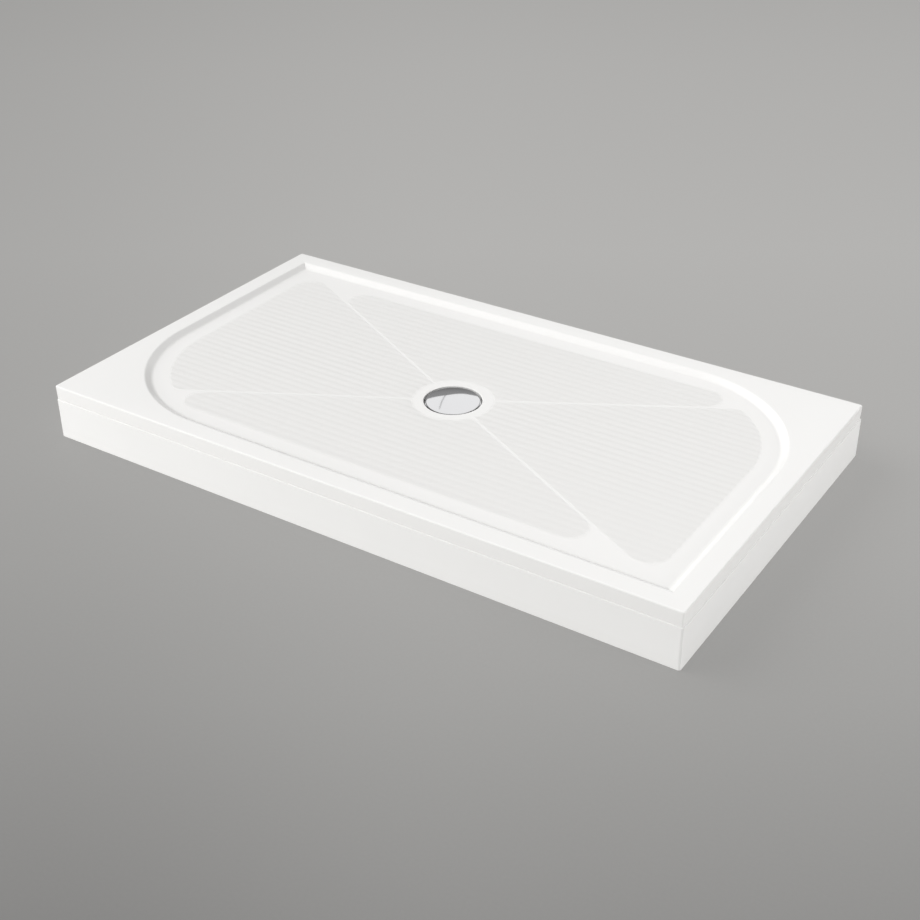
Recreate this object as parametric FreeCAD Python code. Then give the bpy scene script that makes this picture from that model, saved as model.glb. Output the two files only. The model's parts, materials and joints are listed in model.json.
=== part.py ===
import FreeCAD, Part
import math
import os

# Rectangular shower tray on adjustable legs, with a clip-on plinth and a domed waste.
# Millimetres, +Z up. X runs along the long side, the plinth's long panel faces -Y and
# the +Y side stands against the wall. The origin is on the floor, at the centre of the
# footprint. The tray is shown with its legs at the middle of their adjustment.

# ---- Tray outside ----
tray_length = 1400.0
tray_width = 800.0
rim_height = 118.0
edge_height = 31.0
outer_corner_radius = 4.5
rim_edge_radius = 2.5
least_corner_radius = 1.0
cap_thickness = 3.0
bond_line = 0.2

# ---- Basin ----
rim_width = 38.0
basin_corner_radius = 296.0
wall_run = 20.0
wall_drop = 8.8
wall_top_run = 5.0
wall_top_drop = 1.2
floor_fall = 2.8

# ---- Anti-slip zones of the floor ----
zone_margin = 34.0
zone_strip = 5.0
zone_relief = 0.5
zone_corner_radius = 35.0
zone_end_corner_radius = 40.0
zone_arc_corner_radius = 20.0

# ---- Ribs of the stone core's underside ----
pocket_size = 104.0
pocket_rib = 16.0
pocket_depth = 6.0
pocket_border = 44.0

# ---- Waste recess of the tray ----
land_radius = 83.0
recess_radius = 60.2
recess_depth = 10.0
waste_hole_radius = 45.0

# ---- Waste fitting ----
seal_thickness = 1.6
lower_seal_thickness = 2.0
seal_width = 8.5
seal_gap = 1.0
flange_radius = 57.0
flange_thickness = 2.0
flange_tube_radius = 43.6
flange_tube_wall = 2.6
flange_tube_length = 30.0
thread_clearance = 0.1
cover_radius = 55.4
cover_dome_radius = 250.0
cover_wall = 1.6
cover_edge_height = 2.4
cover_edge_gap = 4.0
cover_stem_radius = 6.0
cover_fin_count = 3
cover_fin_turn = 30.0
cover_fin_setback = 6.4
cover_fin_thickness = 2.0
trap_wall = 3.0
trap_radius = 50.0
trap_floor_clearance = 10.0
trap_collar_overhang = 6.0
trap_collar_height = 6.0
trap_rib_count = 6
trap_rib_setback = 1.0
outlet_drop = 33.0
outlet_bore_radius = 19.0
pipe_radius = 21.5
pipe_clearance = 0.25
socket_depth = 25.0
outlet_reach = 102.0
outlet_thread_radius = 25.5
nut_wall = 3.5
nut_length = 27.0
nut_lip = 3.0
nut_grip_count = 12
nut_grip_size = 3.0
cone_seal_length = 4.0
thrust_washer_thickness = 1.2

# ---- Strainer with its dip tube ----
strainer_clearance = 0.4
strainer_lip_radius = 47.0
strainer_lip_thickness = 1.5
strainer_wall = 2.2
strainer_head_height = 16.0
dip_tube_radius = 34.0
dip_tube_clearance = 9.0
strainer_hub_radius = 11.0
strainer_spoke_count = 8
strainer_spoke_width = 3.0
strainer_grid_thickness = 4.0
strainer_ring_radius = 25.0
stem_clearance = 0.3
head_seal_size = 2.0

# ---- Legs ----
leg_inset = 55.0
inner_leg_spacing = 430.0
socket_plate_radius = 32.0
socket_plate_thickness = 4.0
sleeve_radius = 12.0
sleeve_length = 37.0
socket_gusset_count = 3
socket_gusset_radius = 27.0
socket_gusset_height = 20.0
socket_gusset_thickness = 3.0
screw_circle_radius = 23.0
screw_turn = 90.0
screw_shank_flats = 4.0
screw_hole_radius = 2.5
screw_length = 16.0
screw_head_flats = 8.0
screw_head_height = 2.4
rod_radius = 6.0
rod_running_clearance = 0.05
rod_top_clearance = 11.0
lock_nut_flats = 19.0
lock_nut_height = 8.0
collar_flats = 17.0
collar_height = 6.0
spigot_radius = 5.0
spigot_length = 10.0
pad_radius = 26.0
pad_base_height = 5.0
pad_hub_radius = 11.0
pad_hub_taper = 1.0
pad_height = 20.0
seat_clearance = 0.05

# ---- Plinth panels ----
panel_seam = 0.5
panel_floor_gap = 1.0
panel_proud = 0.6
panel_wall = 4.0
mitre_gap = 0.3
return_depth = 12.0
return_thickness = 2.5
rail_drop = 18.0
rail_spacing = 44.0
rail_web = 2.5
rail_depth = 6.0
rail_lip = 5.5

# ---- Panel clips and corner connectors ----
clip_fit = 0.2
clip_plate = 3.0
clip_plate_width = 40.0
clip_fork_height = 6.0
fork_gap = 2.5
clip_arm = 3.5
clip_grip_gap = 0.3
clip_mouth = 10.0
clip_gusset_length = 24.0
clip_gusset_thickness = 3.0
connector_length = 26.0

# ---- Worked-out places ----
underside = rim_height - edge_height
floor_rim_level = rim_height - wall_drop
land_level = floor_rim_level - floor_fall
recess_level = land_level - recess_depth
half_length = tray_length / 2
half_width = tray_width / 2
basin_half_length = half_length - rim_width
basin_half_width = half_width - rim_width
footprint_centre_shift = panel_proud / 2
panel_top = underside - panel_seam
face_x = half_length + panel_proud
face_y = half_width + panel_proud
leg_x = half_length - leg_inset
leg_y = half_width - leg_inset
flange_level = recess_level + seal_thickness + flange_thickness
sleeve_bottom = underside - sleeve_length
high = 1.5 * rim_height
outlet_height = underside - outlet_drop
trap_collar_radius = trap_radius + trap_collar_overhang
rail_top = panel_top - rail_drop
rail_height = rail_top - rail_spacing

UP = FreeCAD.Vector(0, 0, 1)
CENTRE = FreeCAD.Vector(0, 0, 0)


def point(x, y, z):
    return FreeCAD.Vector(x, y, z)


def save(name, shape):
    """Writes one sub-part, with the origin moved to the centre of the footprint."""
    placed = shape.copy()
    placed.translate(point(0, footprint_centre_shift, 0))
    placed.exportStep(os.path.join("parts", name + ".step"))


def box(x0, x1, y0, y1, z0, z1):
    return Part.makeBox(x1 - x0, y1 - y0, z1 - z0, point(x0, y0, z0))


def cylinder(radius, z0, z1, x=0.0, y=0.0):
    return Part.makeCylinder(radius, z1 - z0, point(x, y, z0))


def ring(inner, outer, z0, z1):
    return cylinder(outer, z0, z1).cut(cylinder(inner, z0, z1))


def revolved(outline):
    """Solid of revolution of a closed outline of (radius, height) pairs about the Z axis."""
    corners = [point(radius, 0, height) for radius, height in outline]
    corners.append(corners[0])
    return Part.Face(Part.makePolygon(corners)).revolve(CENTRE, UP, 360)


def spun(shape, angle):
    turned = shape.copy()
    turned.rotate(CENTRE, UP, angle)
    return turned


def moved(shape, x, y, z=0.0):
    copied = shape.copy()
    copied.translate(point(x, y, z))
    return copied


def hexagon_prism(flats, z0, z1):
    radius = flats / math.sqrt(3)
    corners = []
    for index in range(7):
        angle = math.radians(60 * index)
        corners.append(point(radius * math.cos(angle), radius * math.sin(angle), z0))
    return Part.Face(Part.makePolygon(corners)).extrude(point(0, 0, z1 - z0))


def vertical_edges(shape):
    """Edges that run along Z."""
    found = []
    for edge in shape.Edges:
        run = edge.valueAt(edge.LastParameter) - edge.valueAt(edge.FirstParameter)
        if abs(run.x) < 1e-6 and abs(run.y) < 1e-6 and abs(run.z) > 1e-6:
            found.append(edge)
    return found


# ---- Tray ----
def basin_outline(inset, z):
    """The basin's plan: two opposite corners sharp and two round, moved in by inset."""
    x = basin_half_length - inset
    y = basin_half_width - inset
    radius = basin_corner_radius - inset
    corner = radius * math.sqrt(0.5)
    left_front = point(-x + radius, -y, z)
    right_front = point(x, -y, z)
    right_round = point(x, y - radius, z)
    back_round = point(x - radius, y, z)
    left_back = point(-x, y, z)
    left_round = point(-x, -y + radius, z)
    back_arc = point(x - radius + corner, y - radius + corner, z)
    front_arc = point(-x + radius - corner, -y + radius - corner, z)
    edges = [
        Part.LineSegment(left_front, right_front).toShape(),
        Part.LineSegment(right_front, right_round).toShape(),
        Part.Arc(right_round, back_arc, back_round).toShape(),
        Part.LineSegment(back_round, left_back).toShape(),
        Part.LineSegment(left_back, left_round).toShape(),
        Part.Arc(left_round, front_arc, left_front).toShape(),
    ]
    return Part.Wire(edges)


def basin_walls(drop):
    """Space inside the basin's walls: a rounded top edge, then a straight slope."""
    slope_run = wall_run - wall_top_run
    slope_drop = wall_drop - wall_top_drop
    steps = [
        (0.0, -edge_height),
        (0.0, 0.0),
        (wall_top_run * 0.45, wall_top_drop * 0.2),
        (wall_top_run, wall_top_drop),
        (wall_top_run + 2 * slope_run, wall_top_drop + 2 * slope_drop),
    ]
    sections = []
    for run, depth in steps:
        sections.append(basin_outline(run, rim_height - drop - depth))
    return Part.makeLoft(sections, True, True)


def above_floor(lift):
    """Everything above the four floor planes that fall from the walls to the waste."""
    reach = (high - land_level) / floor_fall
    x = basin_half_length * reach
    y = basin_half_width * reach
    low = point(0, 0, land_level + lift)
    z = land_level + lift + floor_fall * reach
    corners = [point(-x, -y, z), point(x, -y, z), point(x, y, z), point(-x, y, z)]
    faces = [Part.Face(Part.makePolygon(corners + [corners[0]]))]
    for index in range(4):
        side = [corners[index], corners[(index + 1) % 4], low, corners[index]]
        faces.append(Part.Face(Part.makePolygon(side)))
    return Part.makeSolid(Part.makeShell(faces))


def prism(corners, z0, z1):
    """Upright prism over a plan outline of (x, y) corners."""
    base = [point(x, y, z0) for x, y in corners]
    return Part.Face(Part.makePolygon(base + [base[0]])).extrude(point(0, 0, z1 - z0))


def side_zone(z0, z1):
    """Zone along the front: a wedge between two strips, fully rounded at both outer ends."""
    angle = math.atan2(basin_half_width, basin_half_length)
    reach = basin_half_width - wall_run - zone_margin
    apex = zone_strip / 2 / math.cos(angle)
    corner = (reach * math.cos(angle) - zone_strip / 2) / math.sin(angle)
    wedge = prism([(0, -apex), (corner, -reach), (-corner, -reach)], z0, z1)
    outer = [edge for edge in vertical_edges(wedge) if abs(edge.CenterOfMass.x) > corner / 2]
    return wedge.makeFillet(zone_corner_radius, outer)


def end_zone(z0, z1):
    """Zone at the right end: it follows the basin's round corner beside the wall side."""
    angle = math.atan2(basin_half_width, basin_half_length)
    reach = basin_half_length - wall_run - zone_margin
    apex = zone_strip / 2 / math.sin(angle)
    corner = (reach * math.sin(angle) - zone_strip / 2) / math.cos(angle)
    wedge = prism([(apex, 0), (reach, -corner), (reach, corner)], z0, z1)
    sharp = [edge for edge in vertical_edges(wedge) if edge.CenterOfMass.y < -corner / 2]
    wedge = wedge.makeFillet(zone_end_corner_radius, sharp)
    field = Part.Face(basin_outline(wall_run + zone_margin, z0)).extrude(point(0, 0, z1 - z0))
    wedge = wedge.common(field)
    strip_side = []
    for edge in vertical_edges(wedge):
        place = edge.CenterOfMass
        off_strip = place.y * math.cos(angle) - place.x * math.sin(angle) + zone_strip / 2
        if abs(off_strip) < 1e-3 and place.x > apex + zone_strip:
            strip_side.append(edge)
    return wedge.makeFillet(zone_arc_corner_radius, strip_side)


def anti_slip_zones(z0, z1):
    """Four prisms over the textured zones, parted by strips along the diagonals."""
    land = cylinder(land_radius, z0, z1)
    zones = []
    for zone in (side_zone(z0, z1), end_zone(z0, z1)):
        zone = zone.cut(land)
        zones += [zone, spun(zone, 180)]
    return zones


def basin_space(drop, recess_growth):
    """The space of the basin, lowered by drop, with the land and the waste recess."""
    space = basin_walls(drop).common(above_floor(-drop))
    land = cylinder(land_radius, land_level - drop, land_level + floor_fall)
    recess = cylinder(recess_radius + recess_growth, recess_level - drop, land_level)
    return space.fuse([land, recess])


def tray_block(inset, z0, z1):
    block = box(
        -half_length + inset,
        half_length - inset,
        -half_width + inset,
        half_width - inset,
        z0,
        z1,
    )
    corner = max(outer_corner_radius - inset, least_corner_radius)
    return block.makeFillet(corner, vertical_edges(block))


def make_tray_shell():
    """Glossy cap: rim, basin, textured zones, waste recess and the skirt round the edge."""
    block = tray_block(0.0, underside, rim_height)
    top_edges = [edge for edge in block.Edges if edge.BoundBox.ZMin > rim_height - 1e-6]
    block = block.makeFillet(rim_edge_radius, top_edges)
    space = basin_space(0.0, 0.0)
    pads = Part.makeCompound(anti_slip_zones(land_level, rim_height))
    pads = pads.cut(above_floor(zone_relief))
    space = space.cut(pads)
    cavity = tray_block(cap_thickness, underside, rim_height - cap_thickness)
    cavity = cavity.cut(basin_space(cap_thickness, cap_thickness))
    hole = cylinder(waste_hole_radius, underside, rim_height)
    return block.cut(space).cut(cavity).cut(hole)


def core_pockets():
    """Shallow square pockets that leave a grid of ribs, solid round the legs and the waste."""
    pitch = pocket_size + pocket_rib
    columns = int((tray_length - 2 * pocket_border + pocket_rib) // pitch)
    rows = int((tray_width - 2 * pocket_border + pocket_rib) // pitch)
    half = pocket_size / 2
    leg_reach = half * math.sqrt(2) + socket_plate_radius
    pockets = []
    for column in range(columns):
        for row in range(rows):
            x = (column - (columns - 1) / 2) * pitch
            y = (row - (rows - 1) / 2) * pitch
            if math.hypot(x, y) < half + recess_radius:
                continue
            if min(math.hypot(x - lx, y - ly) for lx, ly in leg_places()) < leg_reach:
                continue
            pockets.append(box(x - half, x + half, y - half, y + half, underside,
                               underside + pocket_depth))
    return pockets


def make_stone_core():
    """Stone-resin body bonded under the cap; the sockets' screws cut their own thread in it."""
    inset = cap_thickness + bond_line
    core = tray_block(inset, underside, rim_height - inset)
    core = core.cut(basin_space(inset, inset))
    core = core.cut(cylinder(waste_hole_radius, underside, rim_height))
    return core.cut(core_pockets())


# ---- Legs ----
def leg_places():
    """Two rows of legs, one along each long side."""
    places = []
    for y in (-leg_y, leg_y):
        for x in (-leg_x, -inner_leg_spacing / 2, inner_leg_spacing / 2, leg_x):
            places.append((x, y))
    return places


def screw_places():
    places = []
    for x, y in leg_places():
        for index in range(socket_gusset_count):
            angle = math.radians(screw_turn + 360 / socket_gusset_count * index)
            screw_x = x + screw_circle_radius * math.cos(angle)
            screw_y = y + screw_circle_radius * math.sin(angle)
            places.append((screw_x, screw_y))
    return places


def make_leg_socket():
    """Moulded socket: round plate, threaded sleeve and gussets between them."""
    plate_bottom = underside - socket_plate_thickness
    plate = cylinder(socket_plate_radius, plate_bottom, underside)
    sleeve = cylinder(sleeve_radius, sleeve_bottom, underside)
    gussets = []
    for index in range(socket_gusset_count):
        half = socket_gusset_thickness / 2
        corners = [
            point(sleeve_radius - half, -half, plate_bottom - socket_gusset_height),
            point(socket_gusset_radius, -half, plate_bottom),
            point(sleeve_radius - half, -half, plate_bottom),
        ]
        web = Part.Face(Part.makePolygon(corners + [corners[0]]))
        web = web.extrude(point(0, socket_gusset_thickness, 0))
        gussets.append(spun(web, screw_turn + 360 / socket_gusset_count * (index + 0.5)))
    bore = cylinder(rod_radius, sleeve_bottom, plate_bottom)
    holes = []
    for index in range(socket_gusset_count):
        hole = cylinder(screw_hole_radius, plate_bottom, underside, screw_circle_radius, 0)
        holes.append(spun(hole, screw_turn + 360 / socket_gusset_count * index))
    return plate.fuse([sleeve] + gussets).removeSplitter().cut([bore] + holes)


def make_screw():
    """Hexagon-head self-tapping screw, drawn with a plain shank."""
    head_top = underside - socket_plate_thickness
    head = hexagon_prism(screw_head_flats, head_top - screw_head_height, head_top)
    shank = hexagon_prism(screw_shank_flats, head_top, head_top + screw_length)
    return head.fuse(shank)


def make_lock_nut():
    nut = hexagon_prism(lock_nut_flats, sleeve_bottom - lock_nut_height, sleeve_bottom)
    return nut.cut(cylinder(rod_radius, sleeve_bottom - lock_nut_height, sleeve_bottom))


def make_leg_rod():
    """Threaded rod with a hexagon collar for the spanner and a spigot that turns in the pad."""
    shank = rod_radius - rod_running_clearance
    collar_bottom = pad_height + seat_clearance
    top = underside - socket_plate_thickness - rod_top_clearance
    rod = cylinder(shank, collar_bottom, top)
    rod = rod.fuse(hexagon_prism(collar_flats, collar_bottom, collar_bottom + collar_height))
    return rod.fuse(cylinder(spigot_radius, pad_height - spigot_length, collar_bottom))


def make_foot_pad():
    """Round foot with a sloped base and a tapered hub, bored for the rod's spigot."""
    edge = pad_base_height / 2
    bore = spigot_radius + rod_running_clearance
    bore_low = pad_height - spigot_length - seat_clearance
    return revolved([
        (0, 0), (pad_radius, 0), (pad_radius, edge), (pad_hub_radius + edge, pad_base_height),
        (pad_hub_radius, pad_base_height + edge), (pad_hub_radius - pad_hub_taper, pad_height),
        (bore, pad_height), (bore, bore_low), (0, bore_low),
    ])


# ---- Plinth panels ----
def panel_section(x):
    """Extruded section: outer wall, top and bottom returns and two lipped rails."""
    y = -face_y
    inner = y + panel_wall
    back = y + return_depth
    rail = inner + rail_depth
    lip = rail - rail_web
    low = panel_floor_gap
    outline = [
        (y, low), (back, low), (back, low + return_thickness), (inner, low + return_thickness),
        (inner, rail_height), (rail, rail_height), (rail, rail_height + rail_web + rail_lip),
        (lip, rail_height + rail_web + rail_lip), (lip, rail_height + rail_web),
        (inner, rail_height + rail_web),
        (inner, rail_top), (lip, rail_top), (lip, rail_top - rail_lip),
        (rail, rail_top - rail_lip), (rail, rail_top + rail_web), (inner, rail_top + rail_web),
        (inner, panel_top - return_thickness), (back, panel_top - return_thickness),
        (back, panel_top), (y, panel_top),
    ]
    corners = [point(x, across, height) for across, height in outline]
    return Part.Face(Part.makePolygon(corners + [corners[0]]))


def mitre_side(side, towards_front):
    """Space beside a front corner's mitre plane, half the mitre gap away from it."""
    space = box(-tray_length, tray_length, mitre_gap / 2, tray_length, 0, high)
    turn = 180 - 45 * side if towards_front else -45 * side
    return moved(spun(space, turn), side * face_x, -face_y)


def plinth_footprint():
    """Outer outline of the plinth: round at the front corners, square against the wall."""
    block = box(-face_x, face_x, -face_y, half_width, 0, high)
    front = [edge for edge in vertical_edges(block) if edge.CenterOfMass.y < 0]
    return block.makeFillet(outer_corner_radius + panel_proud, front)


def make_front_panel():
    panel = panel_section(-face_x).extrude(point(2 * face_x, 0, 0))
    panel = panel.common(plinth_footprint())
    for side in (-1, 1):
        panel = panel.common(mitre_side(side, True))
    return panel


def make_end_panel(side):
    """The same section along a short side, mitred at the front and square at the wall."""
    span = 2 * face_x + 2 * face_y
    panel = panel_section(-span / 2).extrude(point(span, 0, 0))
    panel = spun(moved(panel, 0, face_y - face_x), 90 * side)
    panel = panel.common(plinth_footprint())
    return panel.common(mitre_side(side, False))


def make_clip(reach, fork_top):
    """Clip for a panel facing -Y: a plate in the rails and a fork that grips a leg's sleeve.

    The clip is drawn with its leg at x = 0 and the panel's outer face at y = 0.
    """
    plate_low = rail_height + rail_web + clip_fit
    plate_high = rail_top - clip_fit
    plate_front = panel_wall + clip_fit
    plate_back = plate_front + clip_plate
    half = clip_plate_width / 2
    fork_low = fork_top - clip_fork_height
    grip = sleeve_radius + clip_grip_gap
    arm = grip + clip_arm
    plate = box(-half, half, plate_front, plate_back, plate_low, plate_high)
    fork = box(-arm, arm, plate_front, reach + clip_mouth, fork_low, fork_top)
    slot = box(-grip, grip, reach, reach + clip_mouth, fork_low, fork_top)
    slot = slot.fuse(cylinder(grip, fork_low, fork_top, 0, reach))
    window_front = plate_back + clip_arm
    window_back = reach - grip - clip_arm
    window_half = grip - clip_arm
    windows = []
    for side in (-1, 1):
        inner = clip_gusset_thickness / 2
        x0 = min(side * inner, side * window_half)
        x1 = max(side * inner, side * window_half)
        windows.append(box(x0, x1, window_front, window_back, fork_low, fork_top))
    gusset_tip = plate_back + clip_gusset_length
    gusset_low = rail_height + rail_web + rail_lip + clip_fit
    corners = [
        point(-clip_gusset_thickness / 2, plate_back, gusset_low),
        point(-clip_gusset_thickness / 2, gusset_tip, fork_low),
        point(-clip_gusset_thickness / 2, plate_back, fork_low),
    ]
    gusset = Part.Face(Part.makePolygon(corners + [corners[0]]))
    gusset = gusset.extrude(point(clip_gusset_thickness, 0, 0))
    return plate.fuse([fork, gusset]).cut([slot] + windows).removeSplitter()


def front_fork_top():
    return rail_top - rail_lip - clip_fit


def end_fork_top():
    return front_fork_top() - clip_fork_height - fork_gap


def make_front_clips():
    clip = make_clip(face_y - leg_y, front_fork_top())
    front_row = [x for x, y in leg_places() if y < 0]
    return Part.makeCompound([moved(clip, x, -face_y) for x in front_row])


def make_end_clips(side):
    clip = spun(make_clip(face_x - leg_x, end_fork_top()), 90 * side)
    return Part.makeCompound([moved(clip, side * face_x, y) for y in (-leg_y, leg_y)])


def make_corner_connector(side):
    """Right-angle strip in the front panel's rails, with an arm behind the end panel."""
    plate_low = rail_height + rail_web + clip_fit
    plate_high = rail_top - clip_fit
    arm_low = rail_height + rail_web + rail_lip + clip_fit
    arm_high = rail_top - rail_lip - clip_fit
    near = panel_wall + clip_fit
    behind = return_depth + clip_fit
    along = box(-face_x + behind, -face_x + near + connector_length, -face_y + near,
                -face_y + near + clip_plate, plate_low, plate_high)
    across = box(-face_x + behind, -face_x + behind + clip_plate, -face_y + near,
                 -face_y + near + connector_length, arm_low, arm_high)
    connector = along.fuse(across).removeSplitter()
    if side > 0:
        connector = connector.mirror(CENTRE, point(1, 0, 0))
    return connector


# ---- Waste ----
def make_waste_flange():
    """Plated flange in the recess, with the threaded tube that pulls the trap up."""
    inner = flange_tube_radius - flange_tube_wall
    bevel = flange_thickness / 2
    plate_low = flange_level - flange_thickness
    return revolved([
        (inner, flange_level), (flange_radius - bevel, flange_level),
        (flange_radius, flange_level - bevel), (flange_radius, plate_low),
        (flange_tube_radius, plate_low), (flange_tube_radius, flange_level - flange_tube_length),
        (inner, flange_level - flange_tube_length),
    ])


def make_upper_seal():
    return ring(waste_hole_radius + seal_gap, waste_hole_radius + seal_gap + seal_width, recess_level,
                recess_level + seal_thickness)


def make_lower_seal():
    low = underside - lower_seal_thickness
    return ring(flange_tube_radius + seal_gap, flange_tube_radius + seal_gap + seal_width, low, underside)


def along_outlet(shape):
    """Turns a piece drawn about the Z axis so that its axis is the outlet's, towards +Y."""
    turned = shape.copy()
    turned.rotate(CENTRE, point(1, 0, 0), -90)
    turned.translate(point(0, 0, outlet_height))
    return turned


def make_trap_body():
    """Bottle trap: collar under the tray, bowl, and a threaded branch for the waste pipe."""
    top = underside - lower_seal_thickness
    collar_low = top - trap_collar_height
    thread = flange_tube_radius + thread_clearance
    bowl_inner = trap_radius - trap_wall
    neck_low = flange_level - flange_tube_length
    bowl_low = trap_floor_clearance
    foot = trap_wall * 2
    outside = revolved([
        (0, bowl_low), (trap_radius - foot, bowl_low), (trap_radius, bowl_low + foot),
        (trap_radius, collar_low), (trap_collar_radius, collar_low),
        (trap_collar_radius, top), (0, top),
    ])
    inside = revolved([
        (0, bowl_low + trap_wall), (bowl_inner - foot, bowl_low + trap_wall),
        (bowl_inner, bowl_low + trap_wall + foot), (bowl_inner, neck_low),
        (thread, neck_low), (thread, top), (0, top),
    ])
    branch = along_outlet(cylinder(outlet_thread_radius, 0, outlet_reach))
    passage = along_outlet(cylinder(outlet_bore_radius, 0, outlet_reach))
    socket = along_outlet(cylinder(pipe_radius + pipe_clearance, outlet_reach - socket_depth,
                                   outlet_reach))
    ribs = []
    for index in range(trap_rib_count):
        rib = box(trap_radius - trap_wall / 2, trap_collar_radius - trap_rib_setback, -trap_wall / 2,
                  trap_wall / 2, collar_low - 2 * trap_collar_height, collar_low)
        ribs.append(spun(rib, 360 / trap_rib_count * (index + 0.5)))
    body = outside.fuse([branch] + ribs)
    return body.cut([inside, passage, socket])


def make_outlet_nut():
    """Compression nut with finger grips, screwed on the trap's branch."""
    start = outlet_reach + cone_seal_length + thrust_washer_thickness + nut_lip - nut_length
    end = start + nut_length
    outer = outlet_thread_radius + nut_wall
    half_grip = nut_grip_size / 2
    shell = ring(outlet_thread_radius + thread_clearance, outer, start, end - nut_lip)
    lip = ring(pipe_radius + 2 * pipe_clearance, outer, end - nut_lip, end)
    grips = []
    for index in range(nut_grip_count):
        grip = box(outer - half_grip, outer + half_grip, -half_grip, half_grip, start,
                   end - nut_lip)
        grips.append(spun(grip, 360 / nut_grip_count * index))
    return along_outlet(shell.fuse([lip] + grips).removeSplitter())


def make_cone_seal():
    inner = pipe_radius + pipe_clearance
    outer = outlet_thread_radius - pipe_clearance
    start = outlet_reach
    end = start + cone_seal_length
    return along_outlet(revolved([(inner, start), (outer, start), (outer, end),
                                  (inner, end)]))


def make_thrust_washer():
    start = outlet_reach + cone_seal_length
    return along_outlet(ring(pipe_radius + 2 * pipe_clearance,
                             outlet_thread_radius - pipe_clearance, start,
                             start + thrust_washer_thickness))


def make_strainer():
    """Lift-out strainer: lip on the flange, hair grid with a hub, and the dip tube below."""
    head = flange_tube_radius - flange_tube_wall - strainer_clearance
    head_low = flange_level - strainer_head_height
    cone_low = head_low - (head - dip_tube_radius)
    bottom = trap_floor_clearance + trap_wall + dip_tube_clearance
    lip_top = flange_level + strainer_lip_thickness
    body = revolved([
        (head - strainer_wall, lip_top), (strainer_lip_radius, lip_top),
        (strainer_lip_radius, flange_level), (head, flange_level), (head, head_low),
        (dip_tube_radius, cone_low), (dip_tube_radius, bottom),
        (dip_tube_radius - strainer_wall, bottom), (dip_tube_radius - strainer_wall, cone_low),
        (head - strainer_wall, head_low),
    ])
    grid_top = head_low + strainer_grid_thickness
    hub = cylinder(strainer_hub_radius, head_low, grid_top)
    half = strainer_spoke_width / 2
    circle = ring(strainer_ring_radius - half, strainer_ring_radius + half, head_low, grid_top)
    spokes = []
    for index in range(strainer_spoke_count):
        spoke = box(strainer_hub_radius - half, head - strainer_wall / 2, -half, half,
                    head_low, grid_top)
        spokes.append(spun(spoke, 360 / strainer_spoke_count * index))
    body = body.fuse([hub, circle] + spokes).removeSplitter()
    socket = cylinder(cover_stem_radius + stem_clearance, head_low, grid_top)
    return body.cut([socket, head_seal(thread_clearance)])


def head_seal(growth):
    """Square-section ring in a groove of the strainer's head, grown for the groove itself."""
    bore = flange_tube_radius - flange_tube_wall
    outer = bore - strainer_clearance / 4
    middle = flange_level - strainer_head_height / 2
    half = head_seal_size / 2 + growth
    return ring(outer - head_seal_size - growth, outer + growth, middle - half, middle + half)


def dome_height(radius_of_sphere, radius):
    return radius_of_sphere - math.sqrt(radius_of_sphere ** 2 - radius ** 2)


def domed_plug(radius, sphere, centre_height, low):
    """Solid of revolution: a cylinder from low up to a spherical crown."""
    edge = centre_height + math.sqrt(sphere ** 2 - radius ** 2)
    middle = centre_height + math.sqrt(sphere ** 2 - radius ** 2 / 4)
    crown = centre_height + sphere
    arc = Part.Arc(point(radius, 0, edge), point(radius / 2, 0, middle), point(0, 0, crown))
    outline = Part.Wire([
        Part.LineSegment(point(0, 0, crown), point(0, 0, low)).toShape(),
        Part.LineSegment(point(0, 0, low), point(radius, 0, low)).toShape(),
        Part.LineSegment(point(radius, 0, low), point(radius, 0, edge)).toShape(),
        arc.toShape(),
    ])
    return Part.Face(outline).revolve(CENTRE, UP, 360)


def make_waste_cover():
    """Domed cover with a turned-down edge, on a finned stem that stands in the strainer."""
    edge_low = flange_level + cover_edge_gap
    edge_top = edge_low + cover_edge_height
    apex = edge_top + dome_height(cover_dome_radius, cover_radius)
    centre = apex - cover_dome_radius
    outside = domed_plug(cover_radius, cover_dome_radius, centre, edge_low)
    inside = domed_plug(cover_radius - cover_wall, cover_dome_radius - cover_wall, centre,
                        edge_low)
    middle = domed_plug(cover_radius - cover_wall / 2, cover_dome_radius - cover_wall / 2,
                        centre, edge_low)
    cover = outside.cut(inside)
    grid_low = flange_level - strainer_head_height
    grid_top = grid_low + strainer_grid_thickness
    stem = cylinder(cover_stem_radius, grid_low, apex - cover_wall / 2)
    fins = []
    for index in range(cover_fin_count):
        fin = box(0, cover_radius - cover_fin_setback, -cover_fin_thickness / 2,
                  cover_fin_thickness / 2, edge_low, apex)
        fin = fin.common(middle)
        fins.append(spun(fin, 360 / cover_fin_count * index + cover_fin_turn))
        foot = box(0, strainer_hub_radius, -cover_fin_thickness / 2, cover_fin_thickness / 2,
                   grid_top + seat_clearance, edge_low)
        fins.append(spun(foot, 360 / cover_fin_count * index + cover_fin_turn))
    return cover.fuse([stem] + fins).removeSplitter()


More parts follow.
